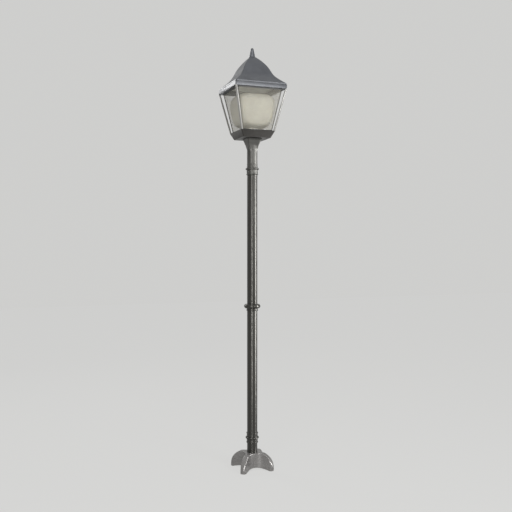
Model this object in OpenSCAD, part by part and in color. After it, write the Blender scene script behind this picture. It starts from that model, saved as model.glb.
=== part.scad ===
// Street light: a slender round post on a four-toed cast foot, with a square tapered lantern
// under a hinged ogee roof. Millimetres, +Z up, origin on the ground at the post's axis,
// front of the lantern towards -Y, roof hinges at the back.

/* [Foot] */
// Height of the foot casting
foot_h = 120; // [90:1:140]
// Centre to the end of a toe, on the ground
foot_reach = 174; // [170:1:200]
// Centre to the end of a toe, at the top of the foot
foot_top_reach = 91.5; // [84:0.5:110]
// Half the width of a toe on the ground
toe_half_low = 22; // [20:0.5:26]
// Half the width of a toe at the top
toe_half_top = 18; // [12:0.5:20]
// Centre to the hollow between two toes, at the top of the foot
waist = 60; // [54:1:66]
// Floor of the post's socket above the ground
seat_z = 30; // [26:1:50]
// Height of the arch between the toes
arch_h = 17; // [8:1:20]
// Half the width of the arch between two toes
arch_half = 92; // [80:1:94]
// Half the spacing of the four anchor holes
anchor_half = 107.5; // [105:0.5:110]
// Diameter of an anchor hole, drilled for a tap
anchor_d = 14; // [10:0.5:16]
// Depth of an anchor hole
anchor_depth = 32; // [20:1:36]
// Radius of the boss round an anchor hole
anchor_boss_r = 13; // [12:0.5:15]
// Height of the hollow in each toe
hollow_h = 56; // [45:1:60]
// Wall left beside that hollow
foot_wall = 7.5; // [6:0.5:9]
// Diameter of the cable entry in the foot's floor
cable_d = 60; // [40:1:64]

/* [Post] */
// Outside diameter of the post's tubes
tube_d = 76; // [72:1:78]
// Wall of the tubes
tube_wall = 3.6; // [2.6:0.1:5]
// Length of the lower tube
lower_len = 1168; // [800:2:1500]
// Length of the upper tube
upper_len = 1000; // [700:10:1300]
// Radial clearance of sliding fits on the tubes
slip = 0.1; // [0.05:0.05:0.3]
// Length of the sleeve inside the joint of the tubes
sleeve_len = 220; // [140:10:300]
// Wall of that sleeve
sleeve_wall = 4; // [3:0.5:6]

/* [Rings] */
// How far a small bead stands out from its sleeve
bead_out = 3; // [2:0.5:4]
// Height of a small bead
bead_h = 9; // [6:1:12]
// How far a large ring stands out from its sleeve
ring_out = 9; // [6:0.5:12]
// Height of a large ring
ring_h = 13; // [9:1:18]
// Spacing of the beads above and below a large ring
ring_pitch = 34; // [28:1:42]
// Wall of the sleeves that carry the beads
collar_wall = 2.5; // [2:0.5:4]
// Height of the foot collar's large ring above the ground
foot_collar_z = 228; // [190:1:300]
// How far the middle ring stands out from its sleeve
mid_out = 20; // [14:1:26]
// Height of the middle ring
mid_h = 32; // [24:1:40]
// Thickness of the web between the two tubes' ends
mid_web = 4; // [3:1:8]
// Diameter of the set screws in the rings
ring_screw_d = 6; // [5:0.5:7]
// Diameter of the set screws in the foot
foot_screw_d = 8; // [6:0.5:10]

/* [Neck] */
// Height of the neck from the upper tube's end to its top face
neck_len = 224; // [190:1:260]
// Height of the flare from round to square
flare_len = 93; // [80:1:120]
// Half the side of the neck's square top
neck_half = 58; // [54:1:64]
// Bore of the neck
neck_bore = 50; // [40:1:54]
// Length of the neck's spigot inside the upper tube
spigot_len = 90; // [60:5:140]
// Chamfer on the corners of the square top
neck_chamfer = 5; // [2:1:8]

/* [Tray] */
// Height of the tray
tray_h = 49; // [44:1:60]
// Half the side of the tray's floor
tray_half_low = 105.5; // [98:0.5:108]
// Half the side of the tray's rim
tray_half_top = 130.5; // [126:0.5:134]
// Wall of the tray
tray_wall = 4; // [3:0.5:6]
// Width of the tray's rim flange
rim_w = 28; // [26:1:31]
// Half the spacing of the tray's screws
tray_screw_half = 38; // [36:1:40]
// Diameter of the tray's screws
tray_screw_d = 6; // [5:1:8]

/* [Lantern] */
// Height of the corner bars
bar_rise = 296; // [270:1:330]
// Half the side of the eave
eave_half = 196; // [188:1:200]
// Width of a corner bar
bar_w = 12; // [11:0.5:15]
// Chamfer on every outside corner of the lantern
corner_chamfer = 6; // [3:0.5:7]
// Thickness of the glass
glass_t = 4; // [3:0.5:5]
// Outside of the eave to the outside of the glass
glass_inset_top = 28; // [24:0.5:30]
// Outside of the tray's rim to the outside of the glass
glass_inset_low = 19; // [18:0.5:20]
// Thickness of the seals
seal_t = 2; // [1:0.5:3]
// Wall of the seals' lips beside the glass
seal_lip_w = 1.5; // [1:0.5:2]
// Height of the seals' lips
seal_lip_h = 4; // [3:0.5:6]
// Diameter of the studs at the ends of the corner bars
stud_d = 4; // [3:0.5:5]

/* [Eave frame] */
// Height of the eave frame
frame_h = 27; // [26:1:36]
// Wall of the eave frame
frame_wall = 5; // [4:0.5:6]
// Half the side of the opening in the eave frame
opening_half = 154; // [148:1:156]
// Height of the upstand round that opening
lip_h = 10; // [6:1:14]
// Thickness of the eave frame's floor
frame_floor = 5; // [4:0.5:6]

/* [Globe] */
// Gap between the opal globe and the glass
globe_gap = 4; // [3:0.5:12]
// Radius of the globe's round neck
globe_neck_r = 50; // [44:1:54]
// Height of the globe above its neck
globe_h = 248; // [220:1:256]
// Length of the globe's neck
globe_neck_h = 18; // [14:1:24]
// Wall of the globe
globe_wall = 3; // [2.5:0.5:4]
// Height of the globe's shoulder above the tray's floor
gallery_h = 67; // [64:1:78]
// Wall of the gallery that holds the globe
gallery_wall = 1.6; // [1.2:0.2:2.4]

/* [Lamp] */
// Radius of the lamp's bulb
bulb_r = 30; // [26:1:32]
// Height of the lamp above its holder
lamp_h = 118; // [100:1:130]
// Height of the lamp holder
holder_h = 46; // [42:1:52]
// Radius of the lamp holder
holder_r = 21; // [18:1:24]
// Radius of the lamp's screw cap
cap_r = 13; // [12:0.5:14]

/* [Roof] */
// Height of the roof's upright rim
roof_rim_h = 9; // [8:1:14]
// Height of the ogee above the rim
roof_rise = 211; // [190:1:240]
// Step of the roof's rim inside the eave frame's outside
roof_step = 2.5; // [1:0.5:3]
// Half the side of the roof where the finial stands
roof_top_half = 21; // [18:1:26]
// Thickness of the roof casting at its rim
roof_t = 4; // [3.5:0.5:5]
// Gap between the closed roof and its seal
roof_gap = 0.3; // [0.2:0.1:0.6]
// Thickness of the reflector plate
reflector_t = 1.5; // [1:0.5:3]

/* [Finial] */
// Height of the finial
finial_h = 70; // [60:1:100]
// Radius of the finial at its foot
finial_r = 24; // [18:0.5:26]
// Radius of the finial at its tip
finial_tip_r = 10; // [7:0.5:12]
// Diameter of the finial's stud
finial_stud_d = 10; // [8:1:12]

/* [Hinge] */
// Radius of the hinge knuckles
knuckle_r = 6; // [5:0.5:6.5]
// Diameter of the hinge pins
hinge_pin_d = 6; // [4:0.5:7]
// Radial clearance of a hinge pin in its knuckles
pin_slip = 0.05; // [0.03:0.01:0.08]
// Length of the knuckle cast on the roof
roof_knuckle_len = 20; // [16:1:30]
// Length of each of the two knuckles on a bracket
side_knuckle_len = 14; // [12:1:20]
// Gap between neighbouring knuckles
knuckle_gap = 0.4; // [0.3:0.1:0.8]
// Distance of each hinge from the end of the eave
hinge_inset = 86; // [60:1:110]
// Thickness of the hinge brackets
leaf_t = 3; // [2:0.5:4]

/* [Hidden] */
$fn = 72;
eps = 0.01;

iron = "#4b4b49";
steel = "#5a5a57";
bar_grey = "#a9a9a5";
roof_grey = "#5f6063";
rubber = "#1c1c1c";
zinc = "#9a9a98";
opal = "#e8e2d0";
clear = [0.85, 0.9, 0.88, 0.3];

// Heights, stacked from the ground
tube_r = tube_d / 2;
joint_z = seat_z + lower_len;
upper_z = joint_z + mid_web;
neck_z = upper_z + upper_len;
neck_top = neck_z + neck_len;
tray_z = neck_top + seal_t;
floor_z = tray_z + tray_wall;
rim_z = tray_z + tray_h;
eave_z = rim_z + bar_rise;
pane_low_z = rim_z + seal_t;
pane_top_z = eave_z - seal_t;
frame_top = eave_z + frame_h;
seal_top = frame_top + seal_t;
roof_z = seal_top + roof_gap;
ogee_z = roof_z + roof_rim_h;
roof_top = ogee_z + roof_rise;

// The lantern's faces are flat from tray to eave, so a half-side there is a blend by height
function at_height(low, top, z) = low + (top - low) * (z - rim_z) / bar_rise;
function bar_outer(z) = at_height(tray_half_top, eave_half, z);
function glass_half(z) = at_height(tray_half_top - glass_inset_low, eave_half - glass_inset_top, z);

// Closed solid through rings of points, all with the same count, listed from the bottom up
module loft(rings) {
    n = len(rings[0]);
    m = len(rings);
    points = [for (ring = rings) each ring];
    sides = [for (k = [0:m - 2], i = [0:n - 1])
        let (a = k * n + i, b = k * n + (i + 1) % n)
        each [[a, a + n, b + n], [a, b + n, b]]];
    low_face = [for (i = [0:n - 1]) i];
    top_face = [for (i = [n - 1:-1:0]) (m - 1) * n + i];
    polyhedron(points, concat(sides, [low_face, top_face]), convexity = 8);
}

// Closed cup, mouth down, between an outer and an inner set of rings, both from the mouth up
module cup(outer, inner) {
    n = len(outer[0]);
    m = len(outer);
    points = concat([for (ring = outer) each ring], [for (ring = inner) each ring]);
    sides = [for (k = [0:m - 2], i = [0:n - 1])
        let (a = k * n + i, b = k * n + (i + 1) % n, c = a + m * n, d = b + m * n)
        each [[a, a + n, b + n], [a, b + n, b], [c, d + n, c + n], [c, d, d + n]]];
    mouth = [for (i = [0:n - 1])
        let (j = (i + 1) % n, c = i + m * n, d = j + m * n) each [[i, j, d], [i, d, c]]];
    crown = [for (i = [n - 1:-1:0]) (m - 1) * n + i];
    ceiling = [for (i = [0:n - 1]) (2 * m - 1) * n + i];
    polyhedron(points, concat(sides, mouth, [crown, ceiling]), convexity = 8);
}

// Square with cut corners, anticlockwise, at height z
function cut_square(half, cut, z) = [
    for (p = [[half, cut - half], [half, half - cut], [half - cut, half], [cut - half, half],
        [-half, half - cut], [-half, cut - half], [cut - half, -half], [half - cut, -half]])
    [p[0], p[1], z]];

function flat(points) = [for (p = points) [p[0], p[1]]];
function raise(points, z) = [for (p = points) [p[0], p[1], z]];

// Square with rounded corners, anticlockwise, at height z
function round_square(half, r, z) = [
    for (q = [0:3], i = [0:7])
    let (a = 90 * q + 90 * (i + 0.5) / 8, c = half - r, s = [1, -1, -1, 1][q], t = [1, 1, -1, -1][q])
    [s * c + r * cos(a), t * c + r * sin(a), z]];

module cut_prism(half, cut, z, h) {
    translate([0, 0, z]) linear_extrude(h) polygon(flat(cut_square(half, cut, 0)));
}

module square_prism(half, z, h) {
    translate([-half, -half, z]) cube([2 * half, 2 * half, h]);
}

// Frame with a cut-cornered outside and a square opening
module square_ring(outer, inner, cut, z, h) {
    difference() {
        cut_prism(outer, cut, z, h);
        square_prism(inner, z - 1, h + 2);
    }
}

module at_corners(half, z) {
    for (x = [-1, 1], y = [-1, 1]) translate([x * half, y * half, z]) children();
}

module tube(r_out, r_in, z, h) {
    translate([0, 0, z]) difference() {
        cylinder(h = h, r = r_out);
        translate([0, 0, -1]) cylinder(h = h + 2, r = r_in);
    }
}

// Rounded ring that stands out from a cylinder of radius r, centred on height z
module bead(r, out, h, z) {
    round_r = (out * out + h * h / 4) / (2 * out);
    translate([0, 0, z]) rotate_extrude() translate([r, 0]) intersection() {
        translate([out - round_r, 0]) circle(round_r, $fn = 64);
        translate([-1, -h]) square([out + 2, 2 * h]);
    }
}

// Screw with a round head above z = 0 and its shank below
module screw(shank_d, shank_l, head_r, head_h) {
    cylinder(h = head_h, r = head_r, $fn = 32);
    translate([0, 0, -shank_l]) cylinder(h = shank_l + eps, d = shank_d, $fn = 32);
}

module socket_screw(d, l) {
    difference() {
        cylinder(h = l, d = d, $fn = 32);
        translate([0, 0, l - d / 2]) cylinder(h = d, r = 0.3 * d, $fn = 6);
    }
}

// Straight piece of wire from a to b
module wire(a, b, d) {
    v = b - a;
    l = norm(v);
    translate(a) rotate([0, acos(v[2] / l), atan2(v[1], v[0])]) cylinder(h = l, d = d, $fn = 16);
}

// Foot

foot_screw_z = 0.5 * foot_h;
foot_screw_len = 2 * foot_screw_d;
arch_r = (arch_half * arch_half + arch_h * arch_h) / (2 * arch_h);
// Radius and height shares of the toes' ridge, from the ground to the foot's flat top
ridge = [[1, 0], [1, 0.13], [0.975, 0.24], [0.925, 0.355], [0.845, 0.48], [0.745, 0.6], [0.62, 0.71],
    [0.49, 0.8], [0.34, 0.88], [0.17, 0.95], [0, 1]];
// Centre of the hollow between two toes: its round side touches the waist and both toes at the top
waist_bite = 1.5;
waist_c = (waist - toe_half_top) / (1 - 1 / sqrt(2));
waist_r_low = waist_c / sqrt(2) - toe_half_low + waist_bite;
waist_r_top = waist_c / sqrt(2) - toe_half_top + waist_bite;
waist_taper = (waist_r_top - waist_r_low) / foot_h;

// Prism along a toe pair: half-width low at z0, top at z1
module toe_prism(low, top, z0, z1, len) {
    rotate([90, 0, 90]) translate([0, 0, -len]) linear_extrude(2 * len)
        polygon([[-low, z0], [low, z0], [top, z1], [-top, z1]]);
}

// Each toe is a tapered bar with a rounded end
module foot_plan() {
    toe_c = foot_reach - toe_half_low;
    for (a = [45, 135]) rotate(a) toe_prism(toe_half_low, toe_half_top, 0, foot_h, toe_c);
    for (a = [45:90:315]) rotate(a) translate([toe_c, 0, 0])
        cylinder(h = foot_h, r1 = toe_half_low + 0.3, r2 = toe_half_top + 0.3);
    difference() {
        rotate(45) square_prism(waist_c / sqrt(2), 0, foot_h);
        for (a = [0:90:270]) rotate(a) translate([waist_c, 0, -1])
            cylinder(h = foot_h + 2, r1 = waist_r_low - waist_taper, r2 = waist_r_top + waist_taper);
    }
}

module foot_casting() {
    reach_out = foot_reach - foot_top_reach;
    color(iron) difference() {
        intersection() {
            foot_plan();
            rotate_extrude() polygon(concat([[0, 0]],
                [for (p = ridge) [foot_top_reach + p[0] * reach_out, p[1] * foot_h]], [[0, foot_h]]));
        }
        // Hollow in each toe, between the post's socket and the anchor boss
        difference() {
            for (a = [45, 135]) rotate(a)
                toe_prism(toe_half_low - foot_wall + 1, toe_half_low - foot_wall - 3,
                -1, hollow_h, anchor_half * sqrt(2));
            translate([0, 0, -2]) cylinder(h = foot_h, r = tube_r + slip + foot_wall);
            at_corners(anchor_half, -2) cylinder(h = foot_h, r = anchor_boss_r);
        }
        // Arches between the toes
        for (a = [0, 90]) rotate(a) translate([-2 * foot_reach, 0, arch_h - arch_r]) rotate([0, 90, 0])
            cylinder(h = 4 * foot_reach, r = arch_r, $fn = 180);
        translate([0, 0, seat_z]) cylinder(h = foot_h, r = tube_r + slip);
        translate([0, 0, -1]) cylinder(h = foot_h, d = cable_d);
        at_corners(anchor_half, -1) cylinder(h = anchor_depth + 1, d = anchor_d);
        // Tapped holes for the set screws, on the two far sides
        for (a = [0, 90]) rotate(a) translate([tube_r - 2, 0, foot_screw_z]) rotate([0, 90, 0])
            cylinder(h = foot_reach, d = foot_screw_d);
    }
}

module foot_screws() {
    color(zinc) for (a = [0, 90]) rotate(a) translate([tube_r, 0, foot_screw_z]) rotate([0, 90, 0])
        socket_screw(foot_screw_d - 0.1, foot_screw_len);
}

// Post

skirt_r = tube_r + slip + collar_wall;
sleeve_r = tube_r - tube_wall - slip;

module lower_tube() {
    color(steel) tube(tube_r, tube_r - tube_wall, seat_z, lower_len);
}

module upper_tube() {
    color(steel) tube(tube_r, tube_r - tube_wall, upper_z, upper_len);
}

module foot_collar() {
    low = foot_collar_z - ring_pitch - bead_h / 2;
    color(steel) difference() {
        union() {
            translate([0, 0, low]) cylinder(h = 2 * ring_pitch + bead_h, r = skirt_r);
            bead(skirt_r, ring_out, ring_h, foot_collar_z);
            for (s = [-1, 1]) bead(skirt_r, bead_out, bead_h, foot_collar_z + s * ring_pitch);
        }
        translate([0, 0, low - 1]) cylinder(h = 2 * ring_pitch + bead_h + 2, r = tube_r + slip);
        ring_screw_hole(90, foot_collar_z - ring_pitch / 2);
    }
}

// The web inside the ring keeps the two tubes' ends apart; the skirt reaches lower than the ring
module mid_collar() {
    bore = tube_r + slip;
    low = joint_z + mid_web / 2 - mid_h / 2 - 2 * bead_h;
    color(steel) difference() {
        union() {
            translate([0, 0, low]) cylinder(h = mid_h + 2 * bead_h, r = skirt_r);
            bead(skirt_r, mid_out, mid_h, joint_z + mid_web / 2);
            bead(skirt_r, bead_out, bead_h, low + bead_h / 2);
        }
        translate([0, 0, low - 1]) cylinder(h = joint_z - low + 1, r = bore);
        translate([0, 0, upper_z]) cylinder(h = mid_h, r = bore);
        translate([0, 0, joint_z - 1]) cylinder(h = mid_web + 2, r = sleeve_r + slip);
    }
}

module joint_sleeve() {
    color(zinc) tube(sleeve_r, sleeve_r - sleeve_wall, upper_z - mid_web / 2 - sleeve_len / 2, sleeve_len);
}

// Neck

skirt_h = ring_pitch + bead_h / 2;
neck_screw_z = neck_z - ring_pitch / 2;
neck_angles = [330, 90, 210];
module ring_screw_hole(a, z) {
    rotate(a) translate([tube_r - 2, 0, z]) rotate([0, 90, 0])
        cylinder(h = ring_out + collar_wall + 4, d = ring_screw_d);
}

// Height share and half-width share of the square flare, from its foot inside the round neck
flare_shape = [[0, 0.46], [0.17, 0.53], [0.35, 0.61], [0.5, 0.665], [0.6, 0.72], [0.72, 0.79], [0.83, 0.85],
    [0.9, 0.895], [0.96, 0.965], [0.98, 1], [1, 1]];

module flare() {
    z0 = neck_top - flare_len;
    side = [for (p = flare_shape) [p[1] * neck_half, z0 + p[0] * flare_len]];
    n = len(side);
    outline = concat(side, [for (i = [n - 1:-1:0]) [-side[i][0], side[i][1]]]);
    intersection() {
        rotate([90, 0, 0]) translate([0, 0, -neck_half - 1]) linear_extrude(2 * neck_half + 2)
            polygon(outline);
        rotate([90, 0, 90]) translate([0, 0, -neck_half - 1]) linear_extrude(2 * neck_half + 2)
            polygon(outline);
        cut_prism(neck_half, neck_chamfer, z0 - 1, flare_len + 2);
    }
}

module neck_casting() {
    color(iron) difference() {
        union() {
            flare();
            translate([0, 0, neck_z]) cylinder(h = neck_len - 1, r = tube_r);
            translate([0, 0, neck_z - skirt_h]) cylinder(h = skirt_h + ring_h, r = skirt_r);
            translate([0, 0, neck_z - spigot_len]) cylinder(h = spigot_len + ring_h, r = sleeve_r);
            bead(skirt_r, ring_out, ring_h, neck_z + ring_h / 2);
            bead(skirt_r, bead_out, bead_h, neck_z - skirt_h + bead_h / 2);
            bead(tube_r, bead_out / 2, bead_h / 2, neck_z + ring_h / 2 + ring_pitch);
        }
        // Groove that takes the upper tube's end, round the spigot
        tube(tube_r + slip, sleeve_r, neck_z - skirt_h - 1, skirt_h + 1);
        translate([0, 0, neck_z - spigot_len - 1]) cylinder(h = neck_len + spigot_len + 2, d = neck_bore);
        at_corners(tray_screw_half, neck_top - 18) cylinder(h = 20, d = tray_screw_d);
        for (a = neck_angles) ring_screw_hole(a, neck_screw_z);
    }
}

module ring_screws() {
    color(zinc) {
        for (a = neck_angles) rotate(a) translate([tube_r, 0, neck_screw_z]) rotate([0, 90, 0])
            socket_screw(ring_screw_d - 0.1, collar_wall + 1);
        rotate(90) translate([tube_r, 0, foot_collar_z - ring_pitch / 2]) rotate([0, 90, 0])
            socket_screw(ring_screw_d - 0.1, collar_wall + 1);
    }
}

// Tray

stud_half_low = tray_half_top - bar_w + stud_d / 2 + 0.9;
stud_half_top = eave_half - bar_w + stud_d / 2 + 0.9;
nut_r = min(0.9 * stud_d, eave_half - frame_wall - stud_half_top - 0.3);
stud_drop = 8;
cable_hole_r = 15;
flange_t = 4;

module tray_gasket() {
    color(rubber) difference() {
        cut_prism(neck_half - 2, neck_chamfer, neck_top, seal_t);
        translate([0, 0, neck_top - 1]) cylinder(h = seal_t + 2, d = neck_bore);
        at_corners(tray_screw_half, neck_top - 1) cylinder(h = seal_t + 2, d = tray_screw_d + 1);
    }
}

module tray_body() {
    loft([cut_square(tray_half_low, corner_chamfer, tray_z),
        cut_square(tray_half_top, corner_chamfer, rim_z)]);
}

module tray() {
    slope = (tray_half_top - tray_half_low) / tray_h;
    inner_low = tray_half_low + slope * tray_wall - tray_wall * sqrt(1 + slope * slope);
    inner_top = tray_half_top - slope * flange_t - tray_wall * sqrt(1 + slope * slope);
    color(iron) difference() {
        union() {
            difference() {
                tray_body();
                loft([cut_square(inner_low, corner_chamfer, floor_z),
                    cut_square(inner_top, corner_chamfer, rim_z - flange_t)]);
            }
            intersection() {
                tray_body();
                at_corners(stud_half_low, rim_z - stud_drop - 4)
                    cylinder(h = stud_drop + 4 - 1, r = stud_d / 2 + 4);
            }
        }
        square_prism(tray_half_top - rim_w, rim_z - flange_t - 1, flange_t + 2);
        translate([0, 0, tray_z - 1]) cylinder(h = tray_wall + 2, r = cable_hole_r);
        at_corners(tray_screw_half, tray_z - 1) cylinder(h = tray_wall + 2, d = tray_screw_d + 0.6);
        at_corners(stud_half_low, rim_z - stud_drop) cylinder(h = stud_drop + 1, d = stud_d + 0.1);
        // Drain holes
        for (a = [45:90:315]) rotate(a) translate([tray_half_low + 10, 0, tray_z - 1])
            cylinder(h = tray_wall + 2, r = 3);
    }
}

module tray_screws() {
    color(zinc) at_corners(tray_screw_half, floor_z)
        screw(tray_screw_d - 0.1, tray_wall + seal_t + 14, tray_screw_d, 4);
}

// Cage and glass

// Quarter q of the lantern: 0 back right, 1 back left, 2 front left, 3 front right
function corner_plan(half, w, cut) = [[half - w, half - w], [half, half - w], [half, half - cut],
    [half - cut, half], [half - w, half]];

module corner_bar(q) {
    color(bar_grey) rotate(90 * q) {
        loft([raise(corner_plan(tray_half_top, bar_w, corner_chamfer), rim_z),
            raise(corner_plan(eave_half, bar_w, corner_chamfer), eave_z)]);
        translate([stud_half_low, stud_half_low, rim_z - stud_drop + 0.5])
            cylinder(h = stud_drop, d = stud_d, $fn = 32);
        translate([stud_half_top, stud_half_top, eave_z - 1])
            cylinder(h = frame_floor + 7, d = stud_d, $fn = 32);
    }
}

module corner_bar_back_right() {
    corner_bar(0);
}

module corner_bar_back_left() {
    corner_bar(1);
}

module corner_bar_front_left() {
    corner_bar(2);
}

module corner_bar_front_right() {
    corner_bar(3);
}

mitre_gap = 1.5;
function pane_plan(g) = let (a = g - mitre_gap, b = g - glass_t - mitre_gap, c = g - glass_t)
    [[-a, -g], [a, -g], [b, -c], [-b, -c]];

module pane(q) {
    color(clear) rotate(90 * q) loft([raise(pane_plan(glass_half(pane_low_z)), pane_low_z),
        raise(pane_plan(glass_half(pane_top_z)), pane_top_z)]);
}

module glass_front() {
    pane(0);
}

module glass_right() {
    pane(1);
}

module glass_back() {
    pane(2);
}

module glass_left() {
    pane(3);
}

// Translucent strip that fills the mitre between two panes
function strip_plan(g) = let (m = mitre_gap, t = glass_t) [[g, g - m], [g, g - m / 2], [g - m / 2, g],
    [g - m, g], [g - t - m, g - t], [g - t - m, g - t - m], [g - t, g - t - m]];

module corner_strips() {
    z0 = pane_low_z + seal_lip_h;
    z1 = pane_top_z - seal_lip_h;
    color("#c9cbc6") for (q = [0:3]) rotate(90 * q)
        loft([raise(strip_plan(glass_half(z0)), z0), raise(strip_plan(glass_half(z1)), z1)]);
}

// Pyramid slice that follows the outside of the glass, larger by out
module glass_slice(out, z0, z1) {
    loft([cut_square(glass_half(z0) + out, 1, z0), cut_square(glass_half(z1) + out, 1, z1)]);
}

// Channel seal: its back lies between z0 and z1 and its lips clasp the glass up to z2
module channel_seal(z_low, z_high, glass_low, glass_high) {
    color(rubber) difference() {
        glass_slice(seal_lip_w, z_low, z_high);
        glass_slice(-glass_t - seal_lip_w, z_low - 1, z_high + 1);
        difference() {
            glass_slice(0, glass_low, glass_high);
            glass_slice(-glass_t, glass_low - 1, glass_high + 1);
        }
    }
}

module sill_seal() {
    channel_seal(rim_z, pane_low_z + seal_lip_h, pane_low_z, pane_low_z + seal_lip_h + 1);
}

module head_seal() {
    channel_seal(pane_top_z - seal_lip_h, eave_z, pane_top_z - seal_lip_h - 1, pane_top_z);
}

// Eave frame

lock_y = -(eave_half - frame_wall - 8);
lock_head_r = 5;
lock_head_h = 5;
lock_recess = 18;
lock_boss_top = frame_top - 4;
lock_travel = 11;
lock_d = 6;
hinge_y = eave_half + 2 + knuckle_r;
hinge_z = roof_z + roof_rim_h / 2;
hinge_x = eave_half - hinge_inset;
bracket_half = roof_knuckle_len / 2 + knuckle_gap + side_knuckle_len;
hinge_screw_half = bracket_half - 7;
hinge_screw_z = eave_z + 0.4 * frame_h;
hinge_screw_d = 5;

module at_hinges() {
    for (x = [-1, 1]) translate([x * hinge_x, 0, 0]) children();
}

module hinge_screw_places() {
    at_hinges() for (x = [-1, 1]) translate([x * hinge_screw_half, eave_half, hinge_screw_z])
        rotate([-90, 0, 0]) children();
}

module eave_frame() {
    color(iron) difference() {
        union() {
            square_ring(eave_half, opening_half, corner_chamfer, eave_z, frame_floor);
            difference() {
                cut_prism(eave_half, corner_chamfer, eave_z, frame_h);
                cut_prism(eave_half - frame_wall, 1, eave_z - 1, frame_h + 2);
            }
            square_ring(opening_half + 4, opening_half, 1, eave_z + frame_floor - 1, lip_h + 1);
            translate([-8, -(eave_half - 1), eave_z + 1])
                cube([16, eave_half - 1 + lock_y + 8, lock_boss_top - eave_z - 1]);
        }
        at_corners(stud_half_top, eave_z - 1) cylinder(h = frame_floor + 2, d = stud_d + 0.1, $fn = 32);
        translate([0, lock_y, eave_z - 1]) cylinder(h = lock_recess + 1, r = lock_head_r + 0.4);
        translate([0, lock_y, eave_z]) cylinder(h = frame_h, d = lock_d + 0.2);
        hinge_screw_places() translate([0, 0, -frame_wall - 1])
            cylinder(h = frame_wall + 2, d = hinge_screw_d);
    }
}

module bar_nuts() {
    color(zinc) at_corners(stud_half_top, eave_z + frame_floor) difference() {
        cylinder(h = 0.8 * stud_d, r = nut_r, $fn = 6);
        translate([0, 0, -1]) cylinder(h = stud_d + 1, d = stud_d + 0.1, $fn = 32);
    }
}

module roof_lock_screw() {
    color(zinc) translate([0, lock_y, 0]) {
        translate([0, 0, eave_z + lock_recess - lock_travel - lock_head_h]) difference() {
            cylinder(h = lock_head_h, r = lock_head_r, $fn = 32);
            translate([0, 0, -1]) cylinder(h = 4, r = 2.3, $fn = 6);
        }
        translate([0, 0, eave_z + lock_recess - lock_travel - 1])
            cylinder(h = frame_top - 0.5 - (eave_z + lock_recess - lock_travel - 1), d = lock_d, $fn = 32);
        translate([0, 0, lock_boss_top]) cylinder(h = 1, r = lock_d / 2 + 2, $fn = 32);
    }
}

// Globe, gallery and lamp

globe_z = floor_z + gallery_h;
globe_top = globe_z + globe_h;
gallery_r = globe_neck_r + 1 + gallery_wall;
shelf_z = globe_z - globe_neck_h - 2;
shelf_t = 2;
stem_r = gallery_r - 17;
flange_r = stem_r + 11;
thumb_z = globe_z - globe_neck_h / 2;
holder_z = shelf_z + shelf_t;
lead_hole_r = 4;

// Cup on a hollow stem: the globe's neck stands in the cup and the wires come up through the stem
module gallery() {
    color(zinc) difference() {
        union() {
            translate([0, 0, floor_z]) cylinder(h = shelf_t, r = flange_r);
            translate([0, 0, floor_z]) cylinder(h = shelf_z - floor_z + 1, r = stem_r);
            translate([0, 0, shelf_z]) cylinder(h = floor_z + gallery_h - 3 - shelf_z, r = gallery_r);
        }
        translate([0, 0, floor_z - 1]) cylinder(h = shelf_z - floor_z + 1, r = stem_r - gallery_wall);
        translate([0, 0, holder_z]) cylinder(h = gallery_h, r = gallery_r - gallery_wall);
        // Air holes and the wires' way
        for (a = [30:60:330]) rotate(a) translate([stem_r + 6, 0, shelf_z - 1])
            cylinder(h = shelf_t + 2, r = 3);
        translate([0, 0, shelf_z - 2]) cylinder(h = shelf_t + 4, r = 5.5);
        translate([0, 0, floor_z + 14]) rotate([0, 90, 0]) cylinder(h = stem_r + 2, r = 7);
        for (a = [0, 120, 240]) rotate(a) translate([0, 0, thumb_z]) rotate([0, 90, 0])
            cylinder(h = gallery_r + 2, r = 2);
        for (a = [60, 180, 300]) rotate(a) translate([flange_r - 5, 0, floor_z - 1])
            cylinder(h = shelf_t + 2, r = 2.1);
    }
}

// Short screws with a raised head that hold the gallery on the tray
module gallery_screws() {
    color(zinc) for (a = [60, 180, 300]) rotate(a) translate([flange_r - 5, 0, floor_z + shelf_t])
        screw(4, shelf_t, 3.6, 2.5);
}

module thumb_screws() {
    color(zinc) for (a = [0, 120, 240]) rotate(a) translate([globe_neck_r, 0, thumb_z]) rotate([0, 90, 0]) {
        cylinder(h = 14, r = 1.95, $fn = 32);
        translate([0, 0, 8]) cylinder(h = 6, r = 5, $fn = 32);
    }
}

// Height share, half-width share and corner-radius share of the globe, from neck to crown
globe_shape = [[0, 0.36, 1], [0.02, 0.5, 1], [0.05, 0.66, 0.8], [0.1, 0.78, 0.56], [0.2, 0.85, 0.38],
    [0.3, 0.885, 0.31], [0.42, 0.925, 0.28], [0.55, 0.965, 0.28], [0.68, 0.995, 0.32], [0.78, 1, 0.37],
    [0.85, 0.985, 0.42], [0.9, 0.94, 0.47], [0.94, 0.875, 0.53], [0.97, 0.78, 0.6], [0.99, 0.66, 0.7],
    [1, 0.5, 0.8]];
// Widest half-side that keeps the gap to the inside of the glass at every height
globe_half = min([for (s = globe_shape) if (s[0] > 0)
    (glass_half(globe_z + s[0] * globe_h) - glass_t - globe_gap) / s[1]]);

// The globe's skin, neck first, set in by wall
function globe_rings(wall) = concat(
    [round_square(globe_neck_r - wall, globe_neck_r - wall, globe_z - globe_neck_h)],
    [for (s = globe_shape)
        let (half = (s[0] == 0 ? globe_neck_r : max(s[1] * globe_half, globe_neck_r)) - wall,
            z = globe_z + wall + s[0] * (globe_h - 2 * wall))
        round_square(half, half * s[2], z)]);

module opal_globe() {
    color(opal) cup(globe_rings(0), globe_rings(globe_wall));
}

cap_len = 26;

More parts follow.
